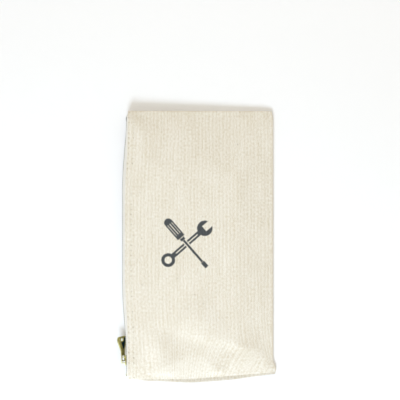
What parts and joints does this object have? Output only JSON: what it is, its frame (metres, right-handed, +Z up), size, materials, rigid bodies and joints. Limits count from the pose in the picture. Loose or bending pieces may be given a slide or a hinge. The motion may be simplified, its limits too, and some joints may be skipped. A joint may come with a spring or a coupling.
{
  "type": "zippered canvas tool bag",
  "caption": "Small flat tool bag of unbleached canvas with a brass zipper along one long edge; the zipper opens and the mouth parts.",
  "frame": {"origin": "middle of the back panel's flat resting face", "axes": "+X from the zipper mouth to the bottom fold, +Y along the zipper towards its bottom stop, +Z up from the table through the front panel"},
  "size_m": [0.1856, 0.3174, 0.0238],
  "materials": {
    "canvas": "unbleached plain-woven cotton duck",
    "tape": "woven cotton zip tape",
    "thread": "cotton sewing thread",
    "brass": "burnished"
  },
  "bodies": {
    "bag": {"back_panel": "canvas", "back_tape": "tape", "back_teeth": "brass", "back_top_stop": "brass", "bottom_stop": "brass", "back_outer_stitching": "thread", "back_inner_stitching": "thread", "upper_end_seam": "canvas", "lower_end_seam": "canvas", "upper_seam_overlock": "thread", "lower_seam_overlock": "thread"},
    "front": {"front_panel": "canvas", "front_tape": "tape", "front_teeth": "brass", "front_top_stop": "brass", "front_outer_stitching": "thread", "front_inner_stitching": "thread"},
    "slider": {"slider_body": "brass"},
    "tab": {"pull_tab": "brass"}
  },
  "joints": [
    {"name": "zip_slider", "type": "slide", "parent": "bag", "child": "slider", "axis": [0, 1, 0], "range_m": [-0.009, 0.278], "deforming": ["front_teeth", "back_teeth"]},
    {"name": "mouth_open", "type": "hinge", "parent": "bag", "child": "front", "pos_m": [0.085, 0, 0.0025], "axis": [0, 1, 0], "range_deg": [-0.33, 10.1]},
    {"name": "pull_tab", "type": "hinge", "parent": "slider", "child": "tab", "pos_m": [-0.0909, -0.1376, 0.00895], "axis": [0, 0, 1], "range_deg": [-1, 152]}
  ],
  "couplings": [
    {"joint": "mouth_open", "follows": "zip_slider", "rad_per_m": 0.628}
  ]
}
